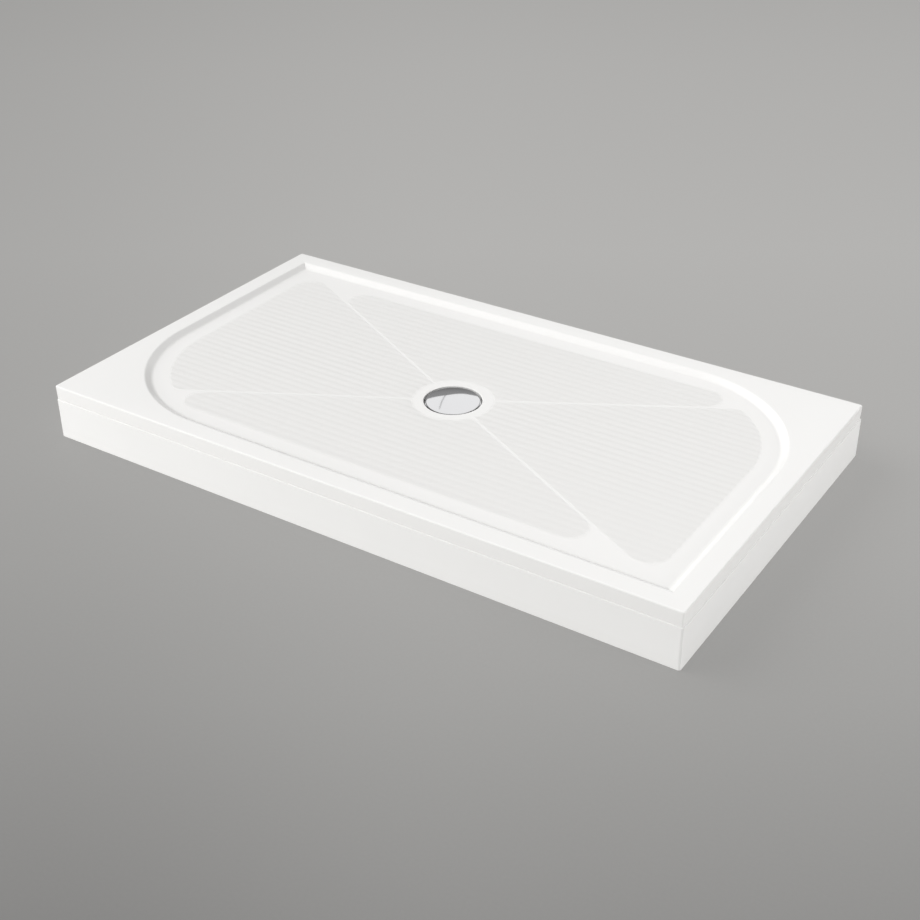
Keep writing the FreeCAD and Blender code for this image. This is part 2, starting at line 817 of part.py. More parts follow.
# ---- All pieces ----
def main():
    os.makedirs("parts", exist_ok=True)
    save("tray_shell", make_tray_shell())
    save("stone_core", make_stone_core())

    socket = make_leg_socket()
    nut = make_lock_nut()
    rod = make_leg_rod()
    pad = make_foot_pad()
    places = leg_places()
    save("leg_sockets", Part.makeCompound([moved(socket, x, y) for x, y in places]))
    save("lock_nuts", Part.makeCompound([moved(nut, x, y) for x, y in places]))
    for number, (x, y) in enumerate(places, 1):
        save("leg_rod_%d" % number, moved(rod, x, y))
        save("foot_pad_%d" % number, moved(pad, x, y))
    screw = make_screw()
    save("socket_screws", Part.makeCompound([moved(screw, x, y) for x, y in screw_places()]))

    save("front_panel", make_front_panel())
    save("front_clips", make_front_clips())
    for name, side in (("left", -1), ("right", 1)):
        save(name + "_end_panel", make_end_panel(side))
        save(name + "_clips", make_end_clips(side))
        save("corner_connector_" + name, make_corner_connector(side))

    save("waste_flange", make_waste_flange())
    save("upper_seal", make_upper_seal())
    save("lower_seal", make_lower_seal())
    save("trap_body", make_trap_body())
    save("outlet_nut", make_outlet_nut())
    save("cone_seal", make_cone_seal())
    save("thrust_washer", make_thrust_washer())
    save("strainer", make_strainer())
    save("strainer_seal", head_seal(0.0))
    save("waste_cover", make_waste_cover())


main()
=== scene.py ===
import json
import math

import bmesh
import bpy
import numpy as np
from mathutils import Matrix, Vector


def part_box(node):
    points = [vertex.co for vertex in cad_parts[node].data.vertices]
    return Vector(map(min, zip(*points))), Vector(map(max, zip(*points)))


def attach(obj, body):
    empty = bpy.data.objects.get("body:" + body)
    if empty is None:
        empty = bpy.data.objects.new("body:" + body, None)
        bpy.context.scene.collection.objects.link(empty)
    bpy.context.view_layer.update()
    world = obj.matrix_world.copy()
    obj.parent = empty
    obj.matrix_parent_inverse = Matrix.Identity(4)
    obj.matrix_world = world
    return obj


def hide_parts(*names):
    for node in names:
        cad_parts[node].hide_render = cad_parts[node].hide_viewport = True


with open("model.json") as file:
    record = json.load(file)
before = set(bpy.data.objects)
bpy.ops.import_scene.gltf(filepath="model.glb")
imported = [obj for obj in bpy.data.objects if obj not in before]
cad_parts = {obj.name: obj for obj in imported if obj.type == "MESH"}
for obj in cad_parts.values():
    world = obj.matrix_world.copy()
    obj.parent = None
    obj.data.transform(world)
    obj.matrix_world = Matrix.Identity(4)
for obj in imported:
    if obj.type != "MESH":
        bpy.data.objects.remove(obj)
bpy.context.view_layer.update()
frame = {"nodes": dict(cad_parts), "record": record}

MM = 0.001

# ---- Sizes in millimetres ----
shell_low, shell_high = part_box("tray_shell")
half_length = (shell_high.x - shell_low.x) / 2 / MM
half_width = (shell_high.y - shell_low.y) / 2 / MM
centre_y = (shell_high.y + shell_low.y) / 2 / MM
rim_height = shell_high.z / MM
underside = shell_low.z / MM

rim_width = 38.0
outer_corner_radius = 4.5
rim_edge_radius = 2.5
lip_draft = 0.7
cap_thickness = 3.0
basin_corner_radius = 296.0
wall_run = 20.0
wall_top_run = 5.0
wall_foot_start = 13.0
land_level = 106.4
floor_fall = 2.8
land_radius = 83.0
land_blend = 24.0
recess_radius = 58.8
recess_edge_radius = 1.2
recess_level = 96.4
inner_foot = underside + 0.2
waste_hole_radius = 45.0

zone_inset = 54.0
zone_half_strip = 3.2
zone_corner_radius = 35.0
zone_end_corner_radius = 40.0
zone_arc_corner_radius = 20.0
zone_relief = 0.4
zone_edge = 3.5
rib_pitch = 18.8
rib_height = 0.24

panel_low = 1.0
panel_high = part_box("front_panel")[1].z / MM + 0.4
panel_proud = 0.6
panel_top_radius = 1.5
face_x = half_length + panel_proud
face_y = half_width + panel_proud
plinth_corner_radius = outer_corner_radius + panel_proud
mitre_half_gap = 0.15

cover_low, cover_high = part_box("waste_cover")
cover_radius = (cover_high.x - cover_low.x) / 2 / MM
cover_edge_low = 104.0
cover_edge_top = 106.4
cover_sphere = 250.0
cover_wall = 1.6
cover_shoulder = 2.0

leg_x = half_length - 55.0
leg_y = half_width - 55.0
inner_leg_x = 215.0
sleeve_bottom = 50.0
socket_plate_bottom = 83.0

basin_x = half_length - rim_width
basin_y = half_width - rim_width
strip_angle = math.atan2(basin_y, basin_x)


# ---- Node helpers ----
# Lowest and highest values that the noise reaches.
noise_ends = (0.15, 0.85)


def new_material(name):
    made = bpy.data.materials.new(name)
    made.use_nodes = True
    tree = made.node_tree
    return made, tree, tree.nodes["Principled BSDF"]


def add_node(tree, kind, **values):
    made = tree.nodes.new(kind)
    for key, value in values.items():
        setattr(made, key, value)
    return made


def feed(tree, made, **values):
    """Sets a node's inputs: numbers and colours as they are, sockets by a link."""
    for name, value in values.items():
        socket = made.inputs[name.replace("_", " ")]
        if isinstance(value, bpy.types.NodeSocket):
            tree.links.new(value, socket)
        else:
            socket.default_value = value


def add_math(tree, operation, first, second):
    made = add_node(tree, "ShaderNodeMath", operation=operation)
    for slot, value in enumerate((first, second)):
        if isinstance(value, (int, float)):
            made.inputs[slot].default_value = value
        else:
            tree.links.new(value, made.inputs[slot])
    return made.outputs["Value"]


def add_range(tree, value, from_low, from_high, to_low, to_high, kind="SMOOTHSTEP"):
    """Value brought from one range to another, by a smooth step or in a straight line."""
    made = add_node(tree, "ShaderNodeMapRange", interpolation_type=kind)
    feed(tree, made, Value=value, From_Min=from_low, From_Max=from_high, To_Min=to_low,
         To_Max=to_high)
    return made.outputs["Result"]


def add_mix(tree, share, first, second, kind="FLOAT"):
    """Number or colour between two others, by a share."""
    made = add_node(tree, "ShaderNodeMix", data_type=kind)
    feed(tree, made, Factor=share, A=first, B=second)
    return made.outputs["Result"]


def add_scaled(tree, colour, factor):
    """Colour times a number."""
    made = add_node(tree, "ShaderNodeVectorMath", operation="SCALE")
    tree.links.new(colour, made.inputs[0])
    feed(tree, made, Scale=factor)
    return made.outputs["Vector"]


def add_dot(tree, vector, direction):
    """Reach of a vector in a fixed direction."""
    made = add_node(tree, "ShaderNodeVectorMath", operation="DOT_PRODUCT")
    tree.links.new(vector, made.inputs[0])
    made.inputs[1].default_value = direction
    return made.outputs["Value"]


def ranged_noise(tree, scale, low, high):
    """Noise over the object's own coordinates: as it is, and brought to a range."""
    place = add_node(tree, "ShaderNodeTexCoord")
    noise = add_node(tree, "ShaderNodeTexNoise")
    feed(tree, noise, Vector=place.outputs["Object"], Scale=scale, Detail=4.0)
    height = noise.outputs["Fac"]
    return height, add_range(tree, height, *noise_ends, low, high, kind="LINEAR")


def add_bump(tree, shader, height, distance):
    bump = add_node(tree, "ShaderNodeBump")
    feed(tree, bump, Height=height, Distance=distance, Strength=1.0)
    feed(tree, shader, Normal=bump.outputs["Normal"])


# ---- Materials ----
def make_finish(name, colour, roughness, metallic=0.0, spread=0.04, grain=60.0, tone=0.02,
                bump=0.00003):
    """Procedural finish: uneven roughness, a slight change of tone and a fine surface grain."""
    made, tree, shader = new_material(name)
    grain_height, grain_range = ranged_noise(tree, grain, roughness - spread, roughness + spread)
    tone_share = ranged_noise(tree, 9.0, 0.0, 1.0)[1]
    darker = tuple(value * (1 - tone) for value in colour) + (1.0,)
    lighter = tuple(min(1.0, value * (1 + tone)) for value in colour) + (1.0,)
    feed(tree, shader, Metallic=metallic, Roughness=grain_range,
         Base_Color=add_mix(tree, tone_share, darker, lighter, "RGBA"))
    if bump:
        add_bump(tree, shader, grain_height, bump)
    return made


def make_cap_finish():
    """White acrylic: glossy on the rim and walls, satin and finely grained on the zones."""
    made, tree, shader = new_material("cap_acrylic")
    zone = add_node(tree, "ShaderNodeAttribute", attribute_name="zone").outputs["Fac"]
    darker, lighter = (0.888, 0.881, 0.866, 1.0), (0.898, 0.891, 0.877, 1.0)
    zone_colour = (0.822, 0.815, 0.800, 1.0)
    tone = add_mix(tree, ranged_noise(tree, 5.0, 0.0, 1.0)[1], darker, lighter, "RGBA")
    smooth_range = ranged_noise(tree, 30.0, 0.16, 0.22)[1]
    grain_height, grain_range = ranged_noise(tree, 900.0, 0.42, 0.52)
    feed(tree, shader, IOR=1.49, Base_Color=add_mix(tree, zone, tone, zone_colour, "RGBA"),
         Roughness=add_mix(tree, zone, smooth_range, grain_range))
    add_bump(tree, shader, add_math(tree, "MULTIPLY", grain_height, zone), 0.00005)
    return made


def make_stone_finish():
    """Cast resin with stone grains: speckled, matt and slightly pitted."""
    made, tree, shader = new_material("stone_cast")
    place = add_node(tree, "ShaderNodeTexCoord")
    cells = add_node(tree, "ShaderNodeTexVoronoi")
    feed(tree, cells, Vector=place.outputs["Object"], Scale=420.0)
    ramp = add_node(tree, "ShaderNodeValToRGB")
    first, last = ramp.color_ramp.elements
    first.position, first.color = 0.1, (0.62, 0.60, 0.56, 1.0)
    last.position, last.color = 0.6, (0.80, 0.79, 0.76, 1.0)
    feed(tree, ramp, Fac=cells.outputs["Distance"])
    pit_height, pit_range = ranged_noise(tree, 160.0, 0.6, 0.8)
    feed(tree, shader, Base_Color=ramp.outputs["Color"], Roughness=pit_range)
    add_bump(tree, shader, pit_height, 0.0002)
    return made


finishes = {
    "cap_white": make_cap_finish(),
    "stone_resin": make_stone_finish(),
    "panel_white": make_finish("panel_satin", (0.895, 0.889, 0.876), 0.30, spread=0.03, grain=25.0,
                               tone=0.006, bump=0.0),
    "clip_plastic": make_finish("clip_moulded", (0.80, 0.80, 0.78), 0.50),
    "leg_plastic": make_finish("leg_moulded", (0.020, 0.020, 0.022), 0.48, spread=0.08, tone=0.2,
                               bump=0.00006, grain=350.0),
    "zinc_steel": make_finish("zinc_plated", (0.62, 0.63, 0.62), 0.34, metallic=1.0, spread=0.08,
                              grain=180.0, tone=0.08),
    "chrome_cover": make_finish("chrome_polished", (0.80, 0.80, 0.81), 0.07, metallic=1.0,
                                spread=0.015, grain=25.0, tone=0.01, bump=0.000003),
    "waste_plastic": make_finish("waste_moulded", (0.83, 0.83, 0.81), 0.38),
    "strainer_plastic": make_finish("strainer_moulded", (0.17, 0.175, 0.18), 0.42, tone=0.06),
    "seal_rubber": make_finish("seal_soft", (0.018, 0.018, 0.018), 0.68, tone=0.2, bump=0.00008,
                               grain=300.0),
}


# ---- Mesh helpers ----
sharp_angle = math.radians(32)
# Radius at which turned shapes close on their axis.
axis_radius = 0.02


def make_piece(name, shape, body, slot, *nodes):
    """Mesh object from a shape in millimetres, carried by a body of the frame."""
    mesh = bpy.data.meshes.new(name)
    mesh.from_pydata([tuple(p) for p in np.asarray(shape.points, dtype=float) * MM], [],
                     shape.faces)
    mesh.validate()
    mesh.update()
    mesh.shade_smooth()
    mesh.set_sharp_from_angle(angle=sharp_angle)
    mesh.materials.append(finishes[slot])
    made = bpy.data.objects.new(name, mesh)
    bpy.context.scene.collection.objects.link(made)
    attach(made, body)
    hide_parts(*nodes)
    return made


class Shape:
    """Points and faces of one piece, gathered from rings of points."""

    def __init__(self):
        self.points = []
        self.faces = []

    def add(self, rings, cap_first=False, cap_last=False, looped=False):
        """Skins a row of rings that all have the same number of points; looped joins its ends."""
        count = len(rings[0])
        start = len(self.points)
        for ring in rings:
            self.points.extend(tuple(p) for p in ring)
        for row in range(len(rings) if looped else len(rings) - 1):
            a = start + row * count
            b = start + (row + 1) % len(rings) * count
            for index in range(count):
                after = (index + 1) % count
                self.faces.append((a + index, a + after, b + after, b + index))
        if cap_first:
            self.faces.append(tuple(start + index for index in range(count))[::-1])
        if cap_last:
            last = start + (len(rings) - 1) * count
            self.faces.append(tuple(last + index for index in range(count)))

    def join(self, other):
        start = len(self.points)
        self.points.extend(other.points)
        self.faces.extend(tuple(start + index for index in face) for face in other.faces)

    def placed(self, x=0.0, y=0.0, turn=0.0):
        """Copy that is turned about the Z axis and then moved."""
        made = Shape()
        c, s = math.cos(turn), math.sin(turn)
        made.points = [(x + px * c - py * s, y + px * s + py * c, pz)
                       for px, py, pz in self.points]
        made.faces = list(self.faces)
        return made


def rounded_outline(corners, steps=4):
    """Outline of (a, b, radius) corners with each corner rounded by its own radius."""
    # A rounding takes up less than half of the shorter side beside it.
    most = 0.49
    outline = []
    count = len(corners)
    for index, (a, b, radius) in enumerate(corners):
        here = np.array((a, b))
        before = np.array(corners[index - 1][:2]) - here
        after = np.array(corners[(index + 1) % count][:2]) - here
        run_before, run_after = np.linalg.norm(before), np.linalg.norm(after)
        before, after = before / run_before, after / run_after
        angle = math.acos(max(-1.0, min(1.0, float(before @ after))))
        if radius <= 0 or angle > math.pi - 1e-3:
            outline.append((a, b))
            continue
        reach = min(radius / math.tan(angle / 2), run_before * most, run_after * most)
        radius = reach * math.tan(angle / 2)
        middle = (before + after) / np.linalg.norm(before + after)
        centre = here + middle * radius / math.sin(angle / 2)
        first = here + before * reach - centre
        last = here + after * reach - centre
        turn = math.atan2(first[0] * last[1] - first[1] * last[0], float(first @ last))
        for step in range(steps + 1):
            t = turn * step / steps
            c, s = math.cos(t), math.sin(t)
            outline.append((centre[0] + first[0] * c - first[1] * s,
                            centre[1] + first[0] * s + first[1] * c))
    return outline


def supported(outline, reach=0.5):
    """Outline with a point close to both ends of each long side, which keeps flat faces flat."""
    made = []
    for index, here in enumerate(outline):
        here, after = np.array(here), np.array(outline[(index + 1) % len(outline)])
        made.append(tuple(here))
        length = np.linalg.norm(after - here)
        if length > 4 * reach:
            along = (after - here) / length * reach
            made += [tuple(here + along), tuple(after - along)]
    return made


def revolved(profile, segments=96):
    """Closed (radius, height) profile turned about the Z axis."""
    shape = Shape()
    turns = [2 * math.pi * index / segments for index in range(segments)]
    rings = [[(r * math.cos(t), r * math.sin(t), z) for t in turns] for r, z in profile]
    shape.add(rings, looped=True)
    return shape


def hexagon_reach(flats, turn):
    """Distance from the axis to a hexagon's side in the direction of turn."""
    folded = (turn + math.pi / 6) % (math.pi / 3) - math.pi / 6
    return flats / 2 / math.cos(math.pi / 6 - abs(folded))


def hexagon_piece(flats, low, high, bore=0.0, chamfer_low=True, chamfer_high=True):
    """Hexagon nut or head with turned chamfers; a corner of it points along +X."""
    segments = 72
    turns = [2 * math.pi * index / segments for index in range(segments)]
    reach = [hexagon_reach(flats, turn) for turn in turns]
    face_share, bore_chamfer = 0.96, 0.6
    face = flats / 2 * face_share
    slope = math.tan(math.radians(30))

    def circle(radius, z):
        return [(radius * math.cos(t), radius * math.sin(t), z) for t in turns]

    def edge(z, sign, cut):
        return [(r * math.cos(t), r * math.sin(t), z - sign * ((r - face) * slope if cut else 0.0))
                for r, t in zip(reach, turns)]

    inner = bore + bore_chamfer if bore else axis_radius / 2
    rings = []
    if bore:
        rings.append(circle(bore, low + bore_chamfer))
    rings += [circle(inner, low), circle(face, low), edge(low, -1, chamfer_low),
              edge(high, 1, chamfer_high), circle(face, high), circle(inner, high)]
    if bore:
        rings.append(circle(bore, high - bore_chamfer))
    shape = Shape()
    shape.add(rings, cap_first=not bore, cap_last=not bore, looped=bool(bore))
    return shape


def threaded_bar(radius, low, high, pitch, depth, around=24):
    """Bar with a helical thread and chamfered ends."""
    rows_per_pitch = 8
    crest_share, flank_share = 0.1, 0.75
    rows = int((high - low) / pitch * rows_per_pitch)
    rings = []
    for row in range(rows + 1):
        z = low + (high - low) * row / rows
        ring = []
        for index in range(around):
            turn = 2 * math.pi * index / around
            phase = (z / pitch - turn / (2 * math.pi)) % 1.0
            crest = abs(phase * 2 - 1)
            inward = depth * min(1.0, max(0.0, (crest - crest_share) / flank_share))
            end = min(z - low, high - z)
            r = radius - max(inward, depth * max(0.0, 1.0 - end / depth))
            ring.append((r * math.cos(turn), r * math.sin(turn), z))
        rings.append(ring)
    shape = Shape()
    shape.add(rings, cap_first=True, cap_last=True)
    return shape


# ---- Plan of the basin ----
def outline_point(segment, t, inset):
    """Points of one of the basin outline's six runs, counter-clockwise, for fractions t."""
    x, y, radius = basin_x - inset, basin_y - inset, basin_corner_radius - inset
    t = np.asarray(t, dtype=float)
    if segment in (3, 4, 5):
        px, py = outline_point(segment - 3, t, inset)
        return -px, -py
    if segment == 0:
        return (-x + radius) + (2 * x - radius) * t, np.full_like(t, -y)
    if segment == 1:
        return np.full_like(t, x), -y + (2 * y - radius) * t
    angle = t * math.pi / 2
    return x - radius + radius * np.cos(angle), y - radius + radius * np.sin(angle)


def run_fractions(segment):
    """Fractions of one run: even steps, closer at its ends and near the diagonal strips."""
    dense = np.linspace(0, 1, 4001)
    px, py = outline_point(segment, dense, zone_inset)
    length = float(np.sum(np.hypot(np.diff(px), np.diff(py))))
    step = 5.0 if segment in (0, 3) else 3.0
    places = list(np.linspace(0, 1, int(length / step) + 1))
    for offset in (0.4, 0.9, 1.6, 2.6, 4.0):
        places += [offset / length, 1 - offset / length]
    polar = np.unwrap(np.arctan2(py, px))
    # Degrees from a strip's direction: even steps to 0.3, and then each 7 % farther out.
    offsets = list(np.arange(0, 0.31, 0.05)) + list(0.3 * 1.07 ** np.arange(1, 43))
    for target in (strip_angle, -strip_angle, math.pi - strip_angle, math.pi + strip_angle):
        for offset in offsets:
            for sign in (-1, 1):
                wanted = target + sign * math.radians(offset)
                for wrap in (-2 * math.pi, 0, 2 * math.pi):
                    if polar[0] < wanted + wrap < polar[-1]:
                        places.append(float(np.interp(wanted + wrap, polar, dense)))
    least = 0.25 / length
    kept = [0.0]
    for place in sorted(places):
        if place - kept[-1] > least and place < 1 - least:
            kept.append(place)
    return np.array(kept)


fractions = [run_fractions(segment) for segment in range(6)]


def basin_loop(inset):
    parts = [outline_point(segment, fractions[segment], inset) for segment in range(6)]
    return np.concatenate([p[0] for p in parts]), np.concatenate([p[1] for p in parts])


# ---- Anti-slip zones ----
def rounded_corner(d1, d2, cosine, radius):
    """Signed distance to the corner between two edges that is rounded by radius."""
    a, b = d1 + radius, d2 + radius
    share = 1 - cosine * cosine
    first, second = (a - cosine * b) / share, (b - cosine * a) / share
    inside = (first > 0) & (second > 0)
    reach = np.sqrt(np.maximum(0, first * a + second * b)) - radius
    return np.where(inside, reach, np.maximum(d1, d2))


def side_zone(x, y):
    """Signed distance to the zone at the front, with two rounded corners."""
    s, c = math.sin(strip_angle), math.cos(strip_angle)
    outer = -y - (basin_y - zone_inset)
    right = x * s + y * c + zone_half_strip
    left = -x * s + y * c + zone_half_strip
    return np.maximum(rounded_corner(outer, right, -c, zone_corner_radius),
                      rounded_corner(outer, left, -c, zone_corner_radius))


def end_zone(x, y):
    """Signed distance to the zone at the right end, which follows the basin's round corner."""
    s, c = math.sin(strip_angle), math.cos(strip_angle)
    outer = x - (basin_x - zone_inset)
    lower = -x * s - y * c + zone_half_strip
    upper = -x * s + y * c + zone_half_strip
    sharp = rounded_corner(outer, lower, -s, zone_end_corner_radius)
    radius = basin_corner_radius - zone_inset
    arc = rounded_corner(outer, y - (basin_y - zone_inset), 0.0, radius)
    arc_x, arc_y = basin_x - basin_corner_radius, basin_y - basin_corner_radius
    # The centre of the small rounding lies its radius inside both the strip's edge and the arc.
    small = zone_arc_corner_radius
    along_x, along_y = c, s
    from_line = -arc_x * s + arc_y * c + zone_half_strip
    foot_x = arc_x + s * (from_line + small)
    foot_y = arc_y - c * (from_line + small)
    reach = math.sqrt((radius - small) ** 2 - (foot_x - arc_x) ** 2 - (foot_y - arc_y) ** 2)
    middle_x, middle_y = foot_x + along_x * reach, foot_y + along_y * reach
    n1 = (-s, c)
    n2 = ((middle_x - arc_x) / (radius - small), (middle_y - arc_y) / (radius - small))
    g = n1[0] * n2[0] + n1[1] * n2[1]
    px, py = x - middle_x, y - middle_y
    a, b = px * n1[0] + py * n1[1], px * n2[0] + py * n2[1]
    share = 1 - g * g
    in_cone = ((a - g * b) / share > 0) & ((b - g * a) / share > 0)
    corner = np.where(in_cone, np.hypot(px, py) - small, np.maximum(upper, arc))
    return np.maximum(sharp, corner)


def zone_distance(x, y):
    """Signed distance to the nearest zone's edge, negative on the zones."""
    nearest = np.minimum(np.minimum(side_zone(x, y), side_zone(-x, -y)),
                         np.minimum(end_zone(x, y), end_zone(-x, -y)))
    return np.maximum(nearest, land_radius - np.hypot(x, y))


def smooth(t):
    """Smooth step from 0 to 1."""
    t = np.clip(t, 0, 1)
    return t * t * (3 - 2 * t)


def zone_share(x, y):
    """1 on the zones and 0 beside them, with a soft edge."""
    return smooth(0.5 - zone_distance(x, y) / zone_edge)


# ---- Heights of the basin ----
def floor_height(x, y):
    """Four planes that fall to the waste, with soft creases on the diagonals."""
    a, b = np.abs(x) / basin_x, np.abs(y) / basin_y
    soft = 0.012
    steepest = (a + b + np.sqrt((a - b) ** 2 + soft ** 2)) / 2
    away = smooth((np.hypot(x, y) - land_radius + 6) / land_blend)
    return land_level + floor_fall * np.minimum(steepest, 1.0) * away


def wall_share(inset):
    """Share of the rim's height above the floor that is left at an inset."""
    run, start, end = wall_run, wall_top_run, wall_foot_start
    whole = start / 2 + (end - start) + (run - end) / 2
    if inset <= start:
        fallen = inset * inset / (2 * start)
    elif inset <= end:
        fallen = start / 2 + inset - start
    else:
        left = run - inset
        fallen = whole - left * left / (2 * (run - end))
    return 1 - fallen / whole


def surface_height(x, y, inset):
    """Height of the basin's upper face: floor, raised and ribbed zones, and the wall."""
    ribs = (np.cos(2 * math.pi * y / rib_pitch) - 1) * rib_height
    base = floor_height(x, y) + zone_share(x, y) * (zone_relief + ribs)
    if inset < wall_run:
        return base + (rim_height - base) * wall_share(inset)
    return base


# ---- Tray cap ----
def outer_loop(inset):
    """Outline of the tray, counter-clockwise from its right front corner."""
    x, y = half_length - inset, half_width - inset
    radius = max(outer_corner_radius - inset, 0.4)
    return rounded_outline([(x, -y, radius), (x, y, radius), (-x, y, radius), (-x, -y, radius)],
                           steps=8)


def fill_between(outer, inner, z, upwards):
    """Flat ring of triangles between two outlines."""
    mesh = bmesh.new()
    edges = []
    for outline in (outer, inner):
        made = [mesh.verts.new((x, y, 0)) for x, y in outline]
        for index, vert in enumerate(made):
            edges.append(mesh.edges.new((vert, made[(index + 1) % len(made)])))
    bmesh.ops.triangle_fill(mesh, edges=edges, use_beauty=True, normal=(0, 0, 1))
    mesh.verts.index_update()
    filled = Shape()
    filled.points = [(x, y, z) for x, y in [*outer, *inner]]
    for face in mesh.faces:
        ring = [vert.index for vert in face.verts]
        a, b, c = [vert.co for vert in face.verts]
        turns_up = (b - a).cross(c - a).z > 0
        filled.faces.append(tuple(ring if turns_up == upwards else ring[::-1]))
    mesh.free()
    return filled


def weld(shape, reach=1e-4):
    """Joins points that lie in the same place."""
    places, remap, points = {}, [], []
    for p in shape.points:
        key = tuple(round(v / reach) for v in p)
        if key not in places:
            places[key] = len(points)
            points.append(p)
        remap.append(places[key])
    faces = []
    for face in shape.faces:
        ring = []
        for index in face:
            new = remap[index]
            if not ring or ring[-1] != new:
                ring.append(new)
        if ring[0] == ring[-1]:
            ring.pop()
        if len(ring) > 2:
            faces.append(tuple(ring))
    shape.points, shape.faces = points, faces


def ring_points(xs, ys, zs):
    """Ring of points; zs is one height or a height for each point."""
    heights = np.broadcast_to(zs, np.shape(xs))
    return [(float(x), float(y), float(z)) for x, y, z in zip(xs, ys, heights)]


def basin_outline(inset):
    xs, ys = basin_loop(inset)
    return list(zip(xs.tolist(), ys.tolist()))


# Insets of the rings over the wall and the smooth margin, up to the zones' outline.
wall_insets = (0, 0.7, 1.4, 2.1, 2.8, 3.5, 4.2, 5, 6.5, 8, 10, 12, 13, 14, 15, 16, 17, 18, 19, 20,
               22, 25, 29, 33, 37, 41, 45, 49, 52, 53, 53.7)
edge_x, edge_y = basin_loop(zone_inset)
ring_turns = np.arctan2(edge_y, edge_x)

# Shares of the way from the zones' outline to the land, close together at both ends.
floor_run = 225.0
floor_shares = np.concatenate([
    np.array([0, 0.5, 1, 1.6, 2.3, 3, 3.8]) / floor_run,
    np.linspace(5.0 / floor_run, 1 - 4.0 / floor_run, 72),
    1 - np.array([3.2, 2.4, 1.6, 0.8, 0]) / floor_run])


def waste_ring(radius, z):
    """Ring round the waste, with its points in the directions of the basin's outline."""
    return ring_points(radius * np.cos(ring_turns), radius * np.sin(ring_turns), z)


def recess_profile():
    """Radii and heights from the land down through the hole for the waste."""
    profile = [(radius, land_level) for radius in (80, 76, 71, 66)]
    lip = recess_radius + recess_edge_radius
    for step in range(9):
        turn = math.pi / 2 * step / 8
        profile.append((lip - recess_edge_radius * math.sin(turn),
                        land_level - recess_edge_radius * (1 - math.cos(turn))))
    return profile + [
        (recess_radius, recess_level + 3), (recess_radius - 0.4, recess_level + 1),
        (recess_radius - 1.6, recess_level), (52, recess_level),
        (waste_hole_radius + 0.8, recess_level), (waste_hole_radius, recess_level - 0.8),
        (waste_hole_radius, inner_foot)]


def basin_rings():
    """Rings of the basin's upper face, from the rim to the hole for the waste."""
    rings = []
    for inset in wall_insets:
        xs, ys = basin_loop(inset)
        rings.append(ring_points(xs, ys, surface_height(xs, ys, inset)))
    land_x, land_y = land_radius * np.cos(ring_turns), land_radius * np.sin(ring_turns)
    for share in floor_shares:
        xs, ys = edge_x + (land_x - edge_x) * share, edge_y + (land_y - edge_y) * share
        rings.append(ring_points(xs, ys, surface_height(xs, ys, zone_inset)))
    return rings + [waste_ring(radius, z) for radius, z in recess_profile()]


def edge_rings():
    """Rings over the rim's rounded edge, down the outside of the tray and up behind it."""
    places = [(rim_edge_radius + 0.5, rim_height)]
    for step in range(7):
        turn = math.pi / 2 * step / 6
        places.append((rim_edge_radius * (1 - math.sin(turn)),
                       rim_height - rim_edge_radius * (1 - math.cos(turn))))
    places += [(0.0, rim_height - rim_edge_radius - 0.5), (lip_draft - 0.02, underside + 0.7),
               (lip_draft, underside + 0.2), (lip_draft + 0.2, underside),
               (cap_thickness, underside), (cap_thickness, rim_height - cap_thickness)]
    return [[(x, y, z) for x, y in outer_loop(inset)] for inset, z in places]


def inner_rings():
    """Rings of the cap's inner face, one thickness below the basin."""
    rings = [ring_points(*basin_loop(cap_thickness), rim_height - cap_thickness)]
    for inset in (wall_run + 1, zone_inset):
        rings.append(ring_points(*basin_loop(inset), land_level - cap_thickness))
    outside = recess_radius + cap_thickness
    return rings + [waste_ring(outside, land_level - cap_thickness),
                    waste_ring(outside, inner_foot), waste_ring(waste_hole_radius, inner_foot)]


def make_tray_cap():
    cap = Shape()
    cap.add(basin_rings())
    cap.join(fill_between(outer_loop(rim_edge_radius + 0.5), basin_outline(0), rim_height, True))
    cap.add([ring[::-1] for ring in edge_rings()])
    cap.join(fill_between(outer_loop(cap_thickness), basin_outline(cap_thickness),
                          rim_height - cap_thickness, False))
    cap.add([ring[::-1] for ring in inner_rings()])
    weld(cap)
    piece = make_piece("tray_cap", cap.placed(y=centre_y), "tray", "cap_white", "tray_shell")

    # The finish tells the anti-slip zones from the glossy parts by this attribute.
    coordinates = np.array([v.co for v in piece.data.vertices])
    on_floor = coordinates[:, 2] > (land_level - 0.5) * MM
    share = zone_share(coordinates[:, 0] / MM, coordinates[:, 1] / MM - centre_y) * on_floor
    layer = piece.data.attributes.new("zone", "FLOAT", "POINT")
    layer.data.foreach_set("value", share.astype(np.float32))


make_tray_cap()


# ---- Plinth panels ----
def panel_outline():
    """Section of a panel as (depth behind its face, height), with the rail that holds the clips."""
    wall, back, rail = 4.0, 12.0, 10.0
    lip, web, fold = 7.5, 2.5, 5.5
    thick, low, high = 2.5, panel_low, panel_high
    rail_low, rail_high = 24.0, 68.0
    small, large = 0.3, 0.9
    corners = [
        (0, low, large), (back, low, small), (back, low + thick, small), (wall, low + thick, large),
        (wall, rail_low, small), (rail, rail_low, large), (rail, rail_low + web + fold, small),
        (lip, rail_low + web + fold, small), (lip, rail_low + web, small),
        (wall, rail_low + web, small), (wall, rail_high, small), (lip, rail_high, small),
        (lip, rail_high - fold, small), (rail, rail_high - fold, small),
        (rail, rail_high + web, large), (wall, rail_high + web, small),
        (wall, high - thick, large), (back, high - thick, small), (back, high, small),
        (0, high, panel_top_radius),
    ]
    return supported(rounded_outline(corners, steps=4))


section = panel_outline()


